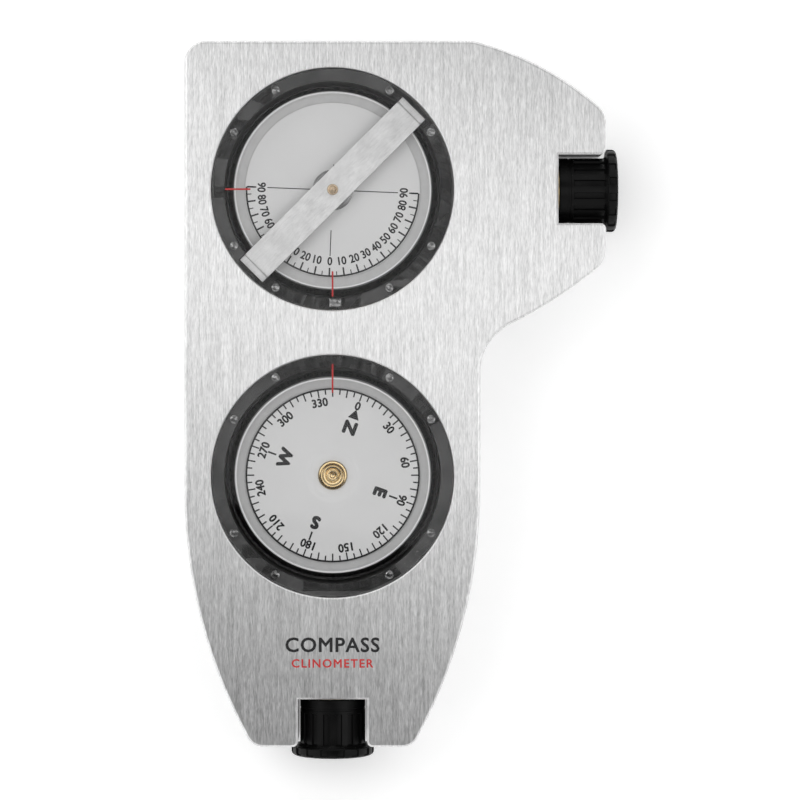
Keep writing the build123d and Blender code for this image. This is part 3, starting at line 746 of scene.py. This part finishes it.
# ---- clinometer's bridge and screw ---------------------------------------------------------------
BRIDGE = {"length": 39.4, "width": 5.5, "fold": 1.1, "slope": 0.25, "drop": 0.15, "turn": 45}
SCREW = {"shank": 0.6, "reach": 0.9}
SCREW_HEAD = (  # radius, height above the bar
    (SCREW["shank"], -0.02), (0.95, -0.02), (0.95, 0.20), (0.84, 0.34), (0.66, 0.34),
    (0.54, 0.14), (0.44, 0.14), (0.32, 0.30), (0.18, 0.30), (0, 0.20),
)
COLLET = {"bore": 0.6, "shank": 1.6}
COLLET_FACE = (  # radius, height above the dial
    (COLLET["shank"], 0), (3.5, 0), (3.42, 0.05), (2.7, 0.22), (2.4, 0.25), (COLLET["bore"], 0.25),
)
HUB = {"bore": 0.95, "shank": 1.5}
HUB_FACE = (  # radius, height above the dial
    (HUB["shank"], 0), (2.5, 0), (2.5, 0.20), (2.36, 0.34), (2.1, 0.38), (1.98, 0.26),
    (1.78, 0.24), (1.7, 0.56), (1.5, 0.69), (1.25, 0.66), (1.12, 0.52), (0.96, 0.52),
    (0.88, 0.80), (0.72, 0.90), (0.5, 0.86), (0.36, 0.62), (0, 0.58), (0, 0.29),
    (HUB["bore"], 0.28),
)


def build_bridge(materials):
    """Flat bar across the capsule, stepped down at its ends, with a brass screw at its middle."""
    low, high = low_z("clinometer_bridge") / MM, high_z("clinometer_bridge") / MM
    half, fold = BRIDGE["length"] / 2, BRIDGE["fold"]
    bm = bmesh.new()
    bar(bm, BRIDGE["length"], BRIDGE["width"], low, high)
    for side in (-1, 1):
        for inset in (fold, fold + BRIDGE["slope"]):
            bmesh.ops.bisect_plane(
                bm, geom=bm.verts[:] + bm.edges[:] + bm.faces[:], dist=1e-7,
                plane_co=(side * (half - inset) * MM, 0, 0), plane_no=(1, 0, 0),
            )
    ends = [
        vert for vert in bm.verts
        if abs(vert.co.x) > (half - fold - 0.01) * MM and vert.co.z > (low + high) / 2 * MM
    ]
    bmesh.ops.translate(bm, vec=(0, 0, -BRIDGE["drop"] * MM), verts=ends)
    turn = Matrix.Rotation(math.radians(BRIDGE["turn"]), 4, "Z")
    piece(
        "clinometer_bar", bm, "block", materials["bar"], upright(CLINO) @ turn,
        ["clinometer_bridge"], sharp=25.0, bevel=0.06,
    )
    foot = low - SCREW["reach"]
    screw = lathe([(0, foot), (SCREW["shank"], foot), *raised(SCREW_HEAD, high)], 64)
    piece(
        "clinometer_screw", screw, "block", materials["brass_clino"], upright(CLINO),
        ["clinometer_pivot_screw"],
    )


def build_clino_collet(materials):
    """Collet with a coned edge, seen each side of the bar."""
    base = low_z("clinometer_hub") / MM
    face = raised(COLLET_FACE, DIAL_Z / MM)
    collet = lathe([(COLLET["bore"], base), (COLLET["shank"], base), *face], 96)
    piece(
        "clinometer_collet", collet, "clinometer_wheel", materials["collet"],
        upright(CLINO), ["clinometer_hub"],
    )


def build_compass_hub(materials):
    """Stepped brass hub with a turned face."""
    base = low_z("compass_hub") / MM
    face = raised(HUB_FACE, DIAL_Z / MM)
    hub = lathe([(HUB["bore"], base), (HUB["shank"], base), *face], 96)
    piece(
        "compass_hub_turned", hub, "compass_card", materials["brass_compass"],
        upright(COMPASS), ["compass_hub"],
    )


# ---- focusing eyepieces --------------------------------------------------------------------------
RING = {
    "bore": 4.85, "barrel": 5.6, "flange": 7.1, "rear": -7.8, "collar": 2.5, "flare": 0.45,
    "front": 2.15, "eye": 3.5, "funnel": 0.95, "lip": 0.85, "barrel_groove": 0.3,
    "flange_groove": 0.25, "groove_slope": 0.10,
}
RIBS = 16
FACES_PER_RIB = 8
GROOVE_FACES = 3


def ring_mesh():
    """Ribbed ring drawn about Z, its block face at height 0: grooves are inset from the barrel."""
    r = RING
    ribs_start = r["rear"] + r["collar"]
    profile = [
        (r["bore"], r["rear"]), (r["barrel"] - 0.2, r["rear"]), (r["barrel"], r["rear"] + 0.2),
        (r["barrel"], ribs_start - 0.9), (r["barrel"] - 0.08, ribs_start - 0.84),
        (r["barrel"] - 0.08, ribs_start - 0.5), (r["barrel"], ribs_start - 0.44),
        (r["barrel"], ribs_start), (r["barrel"], 0.0), (r["barrel"] + r["flare"], r["flare"]),
        (r["flange"] - 0.15, r["flare"]), (r["flange"], r["flare"] + 0.15),
        (r["flange"], r["front"] - 0.6), (r["flange"] - 0.15, r["front"] - 0.25),
        (r["flange"] - 0.45, r["front"] - 0.03), (r["flange"] - 0.8, r["front"]),
        (r["eye"] + r["funnel"] + 0.1, r["front"]),
        (r["eye"] + r["funnel"] - 0.1, r["front"] - 0.08),
        (r["eye"], r["front"] - r["funnel"]), (r["eye"], r["lip"]), (r["bore"], r["lip"]),
    ]
    bm = lathe(profile, RIBS * FACES_PER_RIB)
    inset_grooves(bm, ribs_start, 0.0, r["barrel"] - 0.02, r["barrel_groove"])
    inset_grooves(
        bm, r["flare"] + 0.15, r["front"] - 0.2, r["flange"] - 0.16, r["flange_groove"]
    )
    return bm


def inset_grooves(bm, low, high, least_radius, depth):
    """Sink every groove's patch of outward faces between two heights."""
    for i in range(RIBS):
        centre = FULL_TURN * (i + 0.5) / RIBS
        half = FULL_TURN / RIBS * GROOVE_FACES / FACES_PER_RIB / 2 + 1e-3
        patch = []
        for face in bm.faces:
            spot = face.calc_center_median()
            away = (math.atan2(spot.y, spot.x) - centre + math.pi) % FULL_TURN - math.pi
            outward = face.normal.xy.dot(spot.xy) > 0
            inside = low * MM < spot.z < high * MM and spot.xy.length > least_radius * MM
            if outward and inside and abs(away) < half:
                patch.append(face)
        bmesh.ops.inset_region(
            bm, faces=patch, thickness=RING["groove_slope"] * MM, depth=-depth * MM,
            use_boundary=True, use_even_offset=True,
        )


def build_eyepiece(side, axis, materials):
    """Ring for one side, and the finishes of the CAD pieces inside it."""
    low, high = (Vector(corner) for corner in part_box(side + "_focus_ring"))
    centre = (low + high) / 2
    if side == "side":
        mouth = Vector((high.x - RING["front"] * MM, centre.y, centre.z))
    else:
        mouth = Vector((centre.x, low.y + RING["front"] * MM, centre.z))
    turn = axis.to_track_quat("Z", "X").to_matrix().to_4x4()
    piece(
        side + "_eyepiece_ring", ring_mesh(), side + "_focus", materials["black"],
        Matrix.Translation(mouth) @ turn, [side + "_focus_ring"], sharp=32.0,
    )
    across = 0 if side == "side" else 1
    brass = turned_metal(
        side + "_sleeve_brass", centre, (0.55, 0.38, 0.16), (0.78, 0.58, 0.30), 0.3, across
    )
    dress(side + "_guide_sleeve", brass)
    dress(side + "_lens_cell", materials["black"])
    dress(side + "_lens_retainer", materials["black"])
    dress(side + "_eye_lens", materials["lens"])
    dress(side + "_cell_clip", materials["steel"])
    dress(side + "_key_pin", materials["steel"])
    dress(side + "_o_ring", materials["rubber"])


# ---- marking on the block ------------------------------------------------------------------------
MARK_THICKNESS = 0.015
MARK_WORDS = (  # colour, ink, words, height, y, bold and spacing
    ("black", "black_ink", "COMPASS", 2.4, -41.6, 0.08, 1.1),
    ("red", "red", "CLINOMETER", 1.4, -44.75, 0.05, 1.2),
)


def build_marking(materials):
    """Plain words for what the instrument is, printed on the block below the compass."""
    low = BLOCK_TOP / MM - INK_SINK
    for colour, ink, words, height, y, bold, spacing in MARK_WORDS:
        bm = bmesh.new()
        lettering(bm, words, height, COMPASS.x / MM, y, 0, low, MARK_THICKNESS, bold, spacing)
        piece("block_marking_" + colour, bm, "block", materials[ink])


# ---- stage ---------------------------------------------------------------------------------------
WALL_LIGHT = 1.0
CEILING_SHARE = 0.02  # of the walls' light
FLOOR_GLOW = 0.25
FLOOR_SIZE = 2.0  # half its side
FLOOR_GAP = 0.0002  # below the block's back
STRIP = {"place": (0.0, 0.029, 0.31), "size": (0.8, 0.14), "power": 0.445, "roll": -14}
CAMERA_HEIGHT = 0.520  # above the block's face
CAMERA_SPOT = (-0.008, 0.010)
VIEW_CENTRE = (-0.00027, 0.00003)
VIEW_WIDTH = 0.136  # seen at the block's face


def area_light(name, place, size, power, roll):
    """Rectangular light facing down, its long side turned from X by a roll in degrees."""
    data = bpy.data.lights.new(name, "AREA")
    data.shape = "RECTANGLE"
    data.size, data.size_y = size
    data.energy = power
    lamp = bpy.data.objects.new(name, data)
    bpy.context.scene.collection.objects.link(lamp)
    lamp.location = place
    lamp.rotation_euler = (0, 0, math.radians(roll))


def studio_world():
    """Pale walls all round and a dark ceiling, a little dimmer towards +X and -Y."""
    world = Finish("studio", bpy.data.worlds)
    direction = world.node("ShaderNodeTexCoord", {}, {})
    x, y, z = world.split(direction)
    share = world.ramp(z, ((0.78, 1.0), (0.91, CEILING_SHARE)))
    strength = share * (1.0 - 0.15 * x + 0.15 * y) * WALL_LIGHT
    light = world.node("ShaderNodeBackground", {}, {"Color": grey(1.0), "Strength": strength})
    return world.done(light, "ShaderNodeOutputWorld")


def build_stage():
    """Camera straight above, pale floor and soft light."""
    camera = bpy.data.cameras.new("camera")
    camera.sensor_width = 36.0
    camera.lens = camera.sensor_width * CAMERA_HEIGHT / VIEW_WIDTH
    camera.shift_x = (VIEW_CENTRE[0] - CAMERA_SPOT[0]) / VIEW_WIDTH
    camera.shift_y = (VIEW_CENTRE[1] - CAMERA_SPOT[1]) / VIEW_WIDTH
    camera.clip_start = 0.01
    camera.clip_end = 10.0
    holder = bpy.data.objects.new("camera", camera)
    bpy.context.scene.collection.objects.link(holder)
    holder.location = (*CAMERA_SPOT, BLOCK_TOP + CAMERA_HEIGHT)
    bpy.context.scene.camera = holder

    floor = bmesh.new()
    bmesh.ops.create_grid(floor, x_segments=1, y_segments=1, size=FLOOR_SIZE)
    bmesh.ops.translate(floor, vec=(0, 0, -FLOOR_GAP), verts=floor.verts)
    mesh = bpy.data.meshes.new("floor")
    floor.to_mesh(mesh)
    floor.free()
    pale = Finish("pale_floor")
    cloud = pale.noise(pale.place(), 3.0, 2.0)
    tone = pale.ramp(cloud, ((0.3, 0.94), (0.7, 0.96)))
    shader = pale.principled(
        base_color=tone, roughness=0.9, emission_color=tone, emission_strength=FLOOR_GLOW
    )
    mesh.materials.append(pale.done(shader))
    ground = bpy.data.objects.new("floor", mesh)
    bpy.context.scene.collection.objects.link(ground)

    scene = bpy.context.scene
    scene.view_settings.view_transform = "Standard"
    scene.world = studio_world()
    area_light("overhead_strip", **STRIP)


# ---- assembly ------------------------------------------------------------------------------------
def clino_figure(i):
    """Slope at a mark, counted up to ninety and back down in each half turn."""
    return 90 - abs(i % 18 * 10 - 90)


def compass_figure(i):
    """Bearing at a mark, read from the far side of the card."""
    return (10 * i + 180) % 360


def main():
    build_stage()
    materials = {
        "clear": clear_acrylic(),
        "pad": glassy_pad(),
        "bar": satin_bar(),
        "black": black_plastic(),
        "lens": clear_glass("lens_glass", (0.93, 0.97, 0.96)),
        "jewel": clear_glass("ruby", (0.75, 0.10, 0.16)),
        "steel": plain_moulding("ground_steel", (0.42, 0.42, 0.43), (0.60, 0.60, 0.61), 0.35),
        "rubber": plain_moulding("seal_rubber", (0.012, 0.012, 0.012), (0.03, 0.03, 0.03), 0.6),
        "grey": plain_moulding("grey_plastic", (0.28, 0.28, 0.28), (0.36, 0.36, 0.36), 0.5),
        "magnet": plain_moulding("magnet_alloy", (0.06, 0.06, 0.065), (0.12, 0.12, 0.13), 0.4),
        "collet": turned_metal("collet_metal", CLINO, (0.10, 0.10, 0.10), (0.28, 0.28, 0.28), 0.3),
        "brass_clino": turned_metal(
            "screw_brass", CLINO, (0.16, 0.12, 0.08), (0.70, 0.57, 0.42), 0.22
        ),
        "brass_compass": turned_metal(
            "hub_brass", COMPASS, (0.24, 0.16, 0.06), (0.92, 0.72, 0.42), 0.18
        ),
        "black_ink": print_ink("black_ink", (0.006, 0.006, 0.007)),
        "red": print_ink("red_ink", (0.55, 0.03, 0.03)),
        "wall_ink": print_ink("scale_ink", (0.004, 0.004, 0.004)),
        "dial": dial_sheet(),
    }
    dress("body_block", brushed_block())
    for name, centre in (("clinometer", CLINO), ("compass", COMPASS)):
        build_capsule(name, centre, materials)
        dress(name + "_fill_plug", materials["grey"])
    for node, centre in (("clinometer_drum", CLINO), ("compass_card_drum", COMPASS)):
        dress(node, drum_finish(node + "_finish", centre, RIMS[node][0] * MM, WEB_TONES[node]))
    dress("clinometer_counterweight", materials["brass_clino"])
    dress("clinometer_arbor", materials["steel"])
    dress("compass_pivot_post", materials["steel"])
    dress("clinometer_lower_jewel", materials["jewel"])
    dress("compass_cup_jewel", materials["jewel"])
    dress("compass_magnet", materials["magnet"])
    dress("compass_magnet_carrier", materials["brass_compass"])
    piece(
        "clinometer_dial_face", dial_disc("clinometer_dial", COLLET["shank"]), "clinometer_wheel",
        materials["dial"], upright(CLINO), ["clinometer_dial"],
    )
    piece(
        "compass_dial_face", dial_disc("compass_dial", HUB["shank"], (4.7, 3.5)), "compass_card",
        materials["dial"], upright(COMPASS), ["compass_dial"],
    )
    clino_print(materials["black_ink"])
    compass_print(materials["black_ink"])
    rim_figures(
        "clinometer_rim_scale", "clinometer_drum", "clinometer_wheel", CLINO, WHEEL_SWING,
        clino_figure, materials["wall_ink"],
    )
    rim_figures(
        "compass_rim_scale", "compass_card_drum", "compass_card", COMPASS, CARD_SWING,
        compass_figure, materials["wall_ink"],
    )
    index_lines("clinometer_index_lines", (180, -90), 14.0, 18.3, materials, CLINO)
    index_lines("compass_lubber_line", (90,), 14.2, 19.1, materials, COMPASS)
    build_bridge(materials)
    build_clino_collet(materials)
    build_compass_hub(materials)
    build_eyepiece("side", Vector((1, 0, 0)), materials)
    build_eyepiece("lower", Vector((0, -1, 0)), materials)
    build_marking(materials)


main()
